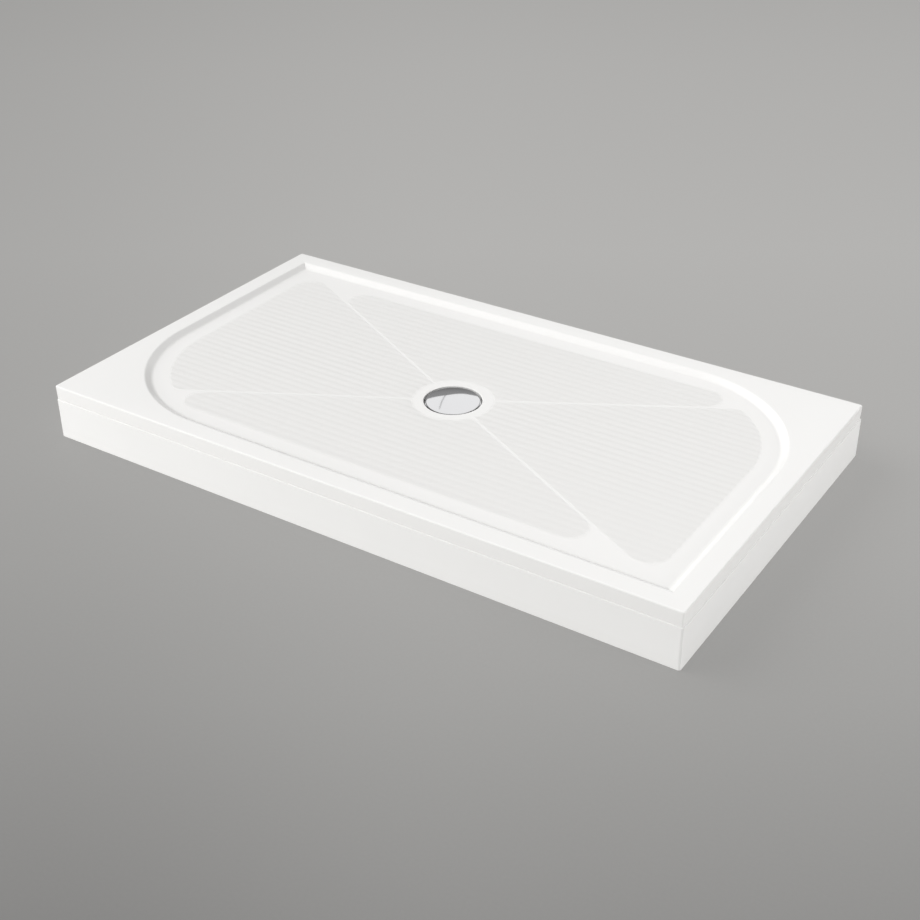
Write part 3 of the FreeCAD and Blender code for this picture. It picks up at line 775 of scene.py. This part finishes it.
def corner_ring(degrees, towards_front):
    """The section at the right front corner, turned from the front face to the end face."""
    turn = math.radians(degrees)
    shift = mitre_half_gap * math.sqrt(2) if degrees == 45 else 0.0
    cx, cy = face_x - plinth_corner_radius, -(face_y - plinth_corner_radius)
    ring = []
    for depth, z in section:
        left = plinth_corner_radius - depth
        if left > 0:
            x, y = cx + left * math.sin(turn), cy - left * math.cos(turn)
        elif towards_front:
            x, y = cx + left * math.tan(turn), cy - left
        else:
            x, y = cx + left, cy - left * math.tan(math.pi / 2 - turn)
        ring.append((x - shift if towards_front else x, y if towards_front else y + shift, z))
    return ring


def make_panels():
    right_half = [corner_ring(degrees, True) for degrees in (0, 9, 18, 27, 36, 45)]
    left_half = [[(-x, y, z) for x, y, z in ring] for ring in right_half[::-1]]
    front = Shape()
    front.add(left_half + right_half, cap_first=True, cap_last=True)
    make_piece("plinth_front", front.placed(y=centre_y), "front_plinth", "panel_white",
               "front_panel")

    rings = [corner_ring(degrees, False) for degrees in (45, 54, 63, 72, 81, 90)]
    rings.append([(face_x - depth, half_width, z) for depth, z in section])
    right, left = Shape(), Shape()
    right.add(rings, cap_first=True, cap_last=True)
    left.points = [(-x, y, z) for x, y, z in right.points]
    left.faces = [face[::-1] for face in right.faces]
    for word, shape in (("right", right), ("left", left)):
        make_piece("plinth_" + word, shape.placed(y=centre_y), word + "_plinth", "panel_white",
                   word + "_end_panel")


make_panels()


# ---- Legs ----
leg_places = [(x, y) for y in (-leg_y, leg_y) for x in (-leg_x, -inner_leg_x, inner_leg_x, leg_x)]
leg_pitch = 1.75
spigot_low = 10.0
collar_low = 20.05
collar_high = 26.0
rod_top = 72.0
collar_flats = 17.0
nut_flats = 19.0
nut_height = 8.0
nut_turn = 0.3
screw_circle = 23.0
screw_flats = 8.0
screw_head = 2.4
screw_length = 16.0


def make_legs():
    """Feet and threaded rods, each on its own body, with the lock nuts and socket screws."""
    pad = revolved(rounded_outline([
        (axis_radius, 0, 0), (26.0, 0, 0.8), (26.0, 2.5, 1.2), (13.5, 5.0, 3.0), (11.0, 7.5, 4.0),
        (10.0, 20.0, 0.8), (5.05, 20.0, 0.4), (5.05, 9.95, 0.0), (axis_radius, 9.95, 0)], steps=5))
    rod = threaded_bar(5.95, collar_high, rod_top, leg_pitch, depth=0.95)
    rod.join(hexagon_piece(collar_flats, collar_low, collar_high))
    rod.join(revolved(rounded_outline([
        (axis_radius, spigot_low, 0), (5.0, spigot_low, 0.8), (5.0, collar_low + 0.05, 0),
        (axis_radius, collar_low + 0.05, 0)]), 32))
    nut = hexagon_piece(nut_flats, sleeve_bottom - nut_height, sleeve_bottom, bore=6.0)
    plate = socket_plate_bottom
    screw = hexagon_piece(screw_flats, plate - screw_head, plate, chamfer_high=False)
    screw.join(threaded_bar(2.0, plate, plate + screw_length, 1.4, depth=0.5, around=12))
    nuts, screws = Shape(), Shape()
    for number, (x, leg_place_y) in enumerate(leg_places, 1):
        y = leg_place_y + centre_y
        make_piece("pad_%d" % number, pad.placed(x, y), "foot_%d" % number, "leg_plastic",
                   "foot_pad_%d" % number)
        make_piece("rod_%d" % number, rod.placed(x, y), "rod_%d" % number, "zinc_steel",
                   "leg_rod_%d" % number)
        nuts.join(nut.placed(x, y, nut_turn * number))
        for degrees in (90, 210, 330):
            turn = math.radians(degrees)
            screws.join(screw.placed(x + screw_circle * math.cos(turn),
                                     y + screw_circle * math.sin(turn)))
    make_piece("hex_nuts", nuts, "tray", "zinc_steel", "lock_nuts")
    make_piece("hex_screws", screws, "tray", "zinc_steel", "socket_screws")


make_legs()


# ---- Waste cover ----
stem_radius = 6.0
stem_low = 84.0
fin_half_thickness = 1.0
fin_foot_low = 88.1


def dome(radius, sphere, apex):
    """Height at a radius of a sphere whose top is at apex."""
    return apex - sphere + math.sqrt(sphere * sphere - radius * radius)


def cover_skin(apex):
    """Profile of the dome: over its top, round its edge and back under it."""
    shoulder_radius = cover_radius - cover_shoulder
    shoulder = dome(shoulder_radius, cover_sphere, apex)
    profile = []
    for step in range(25):
        r = shoulder_radius * step / 24
        profile.append((max(r, axis_radius), dome(r, cover_sphere, apex)))
    for inward, down in ((1.3, 0.3), (0.7, 0.75), (0.2, 1.35), (0.0, 1.9), (0.2, 2.4)):
        profile.append((cover_radius - inward, shoulder - down))
    inner_radius = cover_radius - cover_wall
    profile += [(cover_radius - 0.7, cover_edge_low), (inner_radius + 0.2, cover_edge_low),
                (inner_radius, cover_edge_low + 0.3)]
    for step in range(13):
        r = inner_radius * (12 - step) / 12
        profile.append((max(r, axis_radius), dome(r, cover_sphere - cover_wall, apex - cover_wall)))
    return profile


def cover_fin(apex):
    """Stiffening fin under the dome, along +X, with the foot that stands on the strainer."""
    first, last = 1.0, cover_radius - 6.4
    half = fin_half_thickness
    rows = []
    for step in range(13):
        x = first + (last - first) * step / 12
        top = dome(x, cover_sphere - 0.8, apex - 0.8) - 0.1
        low = cover_edge_low if step < 12 else cover_edge_low + 0.8
        rows.append([(x, -half + 0.1, low), (x, -half, low + 0.3), (x, -half, top), (x, half, top),
                     (x, half, low + 0.3), (x, half - 0.1, low)])
    fin = Shape()
    fin.add([row[::-1] for row in rows], cap_first=True, cap_last=True)
    rows = []
    for x, y, low in ((first, half, fin_foot_low), (10.4, half, fin_foot_low),
                      (11.0, half / 2, fin_foot_low + 0.5)):
        rows.append([(x, -y, low), (x, -y, cover_edge_low), (x, y, cover_edge_low), (x, y, low)])
    foot = Shape()
    foot.add([row[::-1] for row in rows], cap_first=True, cap_last=True)
    fin.join(foot)
    return fin


def make_cover():
    apex = cover_edge_top + cover_sphere - math.sqrt(cover_sphere ** 2 - cover_radius ** 2)
    cover = revolved(cover_skin(apex)[::-1], 160)
    stem_top = apex - 0.9
    cover.join(revolved(rounded_outline([
        (axis_radius, stem_low, 0), (stem_radius, stem_low, 1.0), (stem_radius, stem_top, 0),
        (axis_radius, stem_top, 0)]), 48))
    fin = cover_fin(apex)
    for degrees in (30, 150, 270):
        cover.join(fin.placed(turn=math.radians(degrees)))
    make_piece("waste_dome", cover.placed(y=centre_y), "cover", "chrome_cover", "waste_cover")


make_cover()


# ---- Materials of the CAD nodes that stay ----
for part in frame["record"]["subparts"]:
    node = frame["nodes"].get(part["node"])
    if node is not None:
        node.data.materials.clear()
        node.data.materials.append(finishes[part["material_slot"]])


# ---- Floor ----
# Turn of the photo's line of sight about the upright axis.
sight_turn = math.radians(33.3)
towards_front = (math.sin(sight_turn), -math.cos(sight_turn), 0.0)
towards_right = (math.cos(sight_turn), math.sin(sight_turn), 0.0)

# Greys of the paper floor by distance towards the foreground, in metres: painted shade, darker in
# the foreground.
floor_shade_tones = ((-3.6, 0.415), (-2.7, 0.434), (-1.0, 0.456), (0.0, 0.428), (0.4, 0.398),
               (0.78, 0.356), (1.12, 0.301), (1.3, 0.27), (1.5, 0.275), (3.0, 0.42))
floor_tint = (1.012, 1.0, 0.978)
# Painted shade to the left, over slants that are measured from a point in the foreground.
shade_from = 2.56
shade_least_run = 1.2
shade_slants = (-0.42, 0.02)
shade_left = 0.855
# Share of the floor's tone that comes from the light; the rest is a painted glow.
floor_lit_share = 0.25
# Colour and glow of the floor for the light that it throws on matt surfaces.
floor_bounce = (0.45, 0.45, 0.445, 1.0)
floor_glow = 0.6
floor_reach = 14.0


def along_floor(tree, direction):
    """Distance over the floor in a direction, from the object's own coordinates."""
    place = add_node(tree, "ShaderNodeTexCoord")
    return add_dot(tree, place.outputs["Object"], direction)


def add_floor_shade(tree, near):
    """Colour of the floor by its distance towards the foreground, with painted shade."""
    first, last = floor_shade_tones[0][0], floor_shade_tones[-1][0]
    ramp = add_node(tree, "ShaderNodeValToRGB")
    feed(tree, ramp, Fac=add_range(tree, near, first, last, 0.0, 1.0, kind="LINEAR"))
    stops = ramp.color_ramp.elements
    stops.remove(stops[1])
    for index, (distance, grey) in enumerate(floor_shade_tones):
        stop = stops.new((distance - first) / (last - first)) if index else stops[0]
        stop.color = tuple(grey * share for share in floor_tint) + (1.0,)
    return ramp.outputs["Color"]


def make_floor():
    """Pale paper floor with painted shade: a little darker in the foreground and to the left.

    The camera, glossy surfaces and clear ones see its own tone, of which a share is lit and the
    rest is a painted glow. Matt surfaces get their light from a plain grey that glows.
    """
    made, tree, shader = new_material("floor_paper")
    near = along_floor(tree, towards_front)
    run = add_math(tree, "MAXIMUM", add_math(tree, "SUBTRACT", shade_from, near), shade_least_run)
    slant = add_math(tree, "DIVIDE", along_floor(tree, towards_right), run)
    shade = add_range(tree, slant, *shade_slants, shade_left, 1.0)
    shaded_tint = add_scaled(tree, add_floor_shade(tree, near), shade)
    grained = add_scaled(tree, shaded_tint, ranged_noise(tree, 170.0, 0.984, 1.016)[1])
    lit = add_scaled(tree, grained, floor_lit_share)
    path = add_node(tree, "ShaderNodeLightPath")
    seen = add_math(tree, "MAXIMUM", path.outputs["Is Camera Ray"],
                    add_math(tree, "MAXIMUM", path.outputs["Is Glossy Ray"],
                             path.outputs["Is Transmission Ray"]))
    # Painted glow: rays that see the floor get most of its tone as emission, so only the lit share
    # of its shadow shows.
    seen_glow = add_math(tree, "MULTIPLY", seen, 1 - floor_lit_share - floor_glow)
    feed(tree, shader, Roughness=0.9, Specular_IOR_Level=0.0,
         Base_Color=add_mix(tree, seen, floor_bounce, lit, "RGBA"), Emission_Color=grained,
         Emission_Strength=add_math(tree, "ADD", seen_glow, floor_glow))
    mesh = bpy.data.meshes.new("floor")
    mesh.from_pydata([(x * floor_reach, y * floor_reach, 0)
                      for x, y in ((-1, -1), (1, -1), (1, 1), (-1, 1))], [], [(0, 1, 2, 3)])
    mesh.materials.append(made)
    floor = bpy.data.objects.new("floor", mesh)
    bpy.context.scene.collection.objects.link(floor)


make_floor()


# ---- Light ----
world_level = 0.455
# What glossy surfaces see. Heights are the upward part of a ray's direction, and sideways places
# its part to the right.
backdrop_edge_left = 0.403
backdrop_edge_right = 0.341
backdrop_edge_turn = (-0.08, 0.09)
backdrop_edge_blur = 0.01
backdrop_tones = (0.16, 0.29)
ceiling_tone = 0.98
joint_tone = 0.40
joint_place = 0.042
joint_lean = 0.26
joint_fade = (0.001, 0.009)
joint_end = (0.66, 0.74)


def make_world():
    """Even light for matt surfaces; glossy ones show a white ceiling over a grey backdrop."""
    world = bpy.data.worlds.new("studio")
    bpy.context.scene.world = world
    world.use_nodes = True
    tree = world.node_tree
    ray = add_node(tree, "ShaderNodeTexCoord").outputs["Generated"]
    up = add_dot(tree, ray, (0.0, 0.0, 1.0))
    side = add_dot(tree, ray, towards_right)
    # The backdrop's edge stands higher on the left than on the right.
    edge = add_range(tree, side, *backdrop_edge_turn, backdrop_edge_left, backdrop_edge_right)
    overhead = add_range(tree, add_math(tree, "SUBTRACT", up, edge), -backdrop_edge_blur,
                         backdrop_edge_blur, 0.0, 1.0)
    backdrop = add_range(tree, up, 0.0, backdrop_edge_right, *backdrop_tones)
    # A thin dark joint between two panels of the ceiling.
    slant = add_math(tree, "ADD", side, add_math(tree, "MULTIPLY", up, joint_lean))
    from_joint = add_math(tree, "ABSOLUTE", add_math(tree, "SUBTRACT", slant, joint_place), 0.0)
    joint = add_range(tree, from_joint, *joint_fade, joint_tone, ceiling_tone)
    past_joint = add_range(tree, up, *joint_end, 0.0, ceiling_tone)
    ceiling = add_math(tree, "MAXIMUM", joint, past_joint)
    shown = add_mix(tree, overhead, backdrop, ceiling)
    path = add_node(tree, "ShaderNodeLightPath")
    feed(tree, tree.nodes["Background"],
         Color=add_mix(tree, path.outputs["Is Glossy Ray"], world_level, shown))


sun_angle = math.radians(50)
lamp_target = Vector((0, 0, 0.1))


def add_light(name, kind, place, energy, size):
    """Lamp that looks at the tray; size is a disk's diameter or, for a sun, its angle."""
    light = bpy.data.lights.new(name, kind)
    light.energy = energy
    if kind == "SUN":
        light.angle = size
    else:
        light.shape = "DISK"
        light.size = size
    lamp = bpy.data.objects.new(name, light)
    bpy.context.scene.collection.objects.link(lamp)
    lamp.location = place
    lamp.visible_glossy = False
    lamp.rotation_euler = (lamp_target - Vector(place)).to_track_quat("-Z", "Y").to_euler()


make_world()
add_light("key", "SUN", (-3.5, -1.75, 3.2), 1.40, sun_angle)
add_light("side", "SUN", (-4.0, 0.3, 3.2), 1.06, sun_angle)
add_light("front_left", "AREA", (-1.7, -1.9, 0.40), 10.0, 0.8)
add_light("right_fill", "AREA", (2.8, 0.2, 0.50), 20.0, 1.2)
add_light("front", "AREA", (0.6, -3.2, 0.80), 8.2, 1.2)


# ---- Camera ----
def make_camera():
    """Camera that looks past the frame's origin by a small shift to the side and upwards."""
    azimuth, elevation, roll = math.radians(33.31), math.radians(31.16), math.radians(-0.35)
    side_shift, up_shift, distance = -13.6 * MM, 28.1 * MM, 2974.7 * MM
    sa, ca, se, ce = math.sin(azimuth), math.cos(azimuth), math.sin(elevation), math.cos(elevation)
    back = Vector((sa * ce, -ca * ce, se))
    level = Vector((ca, sa, 0.0))
    upright = back.cross(level)
    right = math.cos(roll) * level + math.sin(roll) * upright
    up = -math.sin(roll) * level + math.cos(roll) * upright
    place = back * distance - right * side_shift - up * up_shift
    data = bpy.data.cameras.new("camera")
    data.lens = 57.27
    data.sensor_width = 36.0
    data.clip_start = 0.05
    data.clip_end = 100.0
    camera = bpy.data.objects.new("camera", data)
    bpy.context.scene.collection.objects.link(camera)
    turned = Matrix((right, up, back)).transposed().to_4x4()
    camera.matrix_world = Matrix.Translation(place) @ turned
    bpy.context.scene.camera = camera


make_camera()
bpy.context.scene.view_settings.view_transform = "Standard"
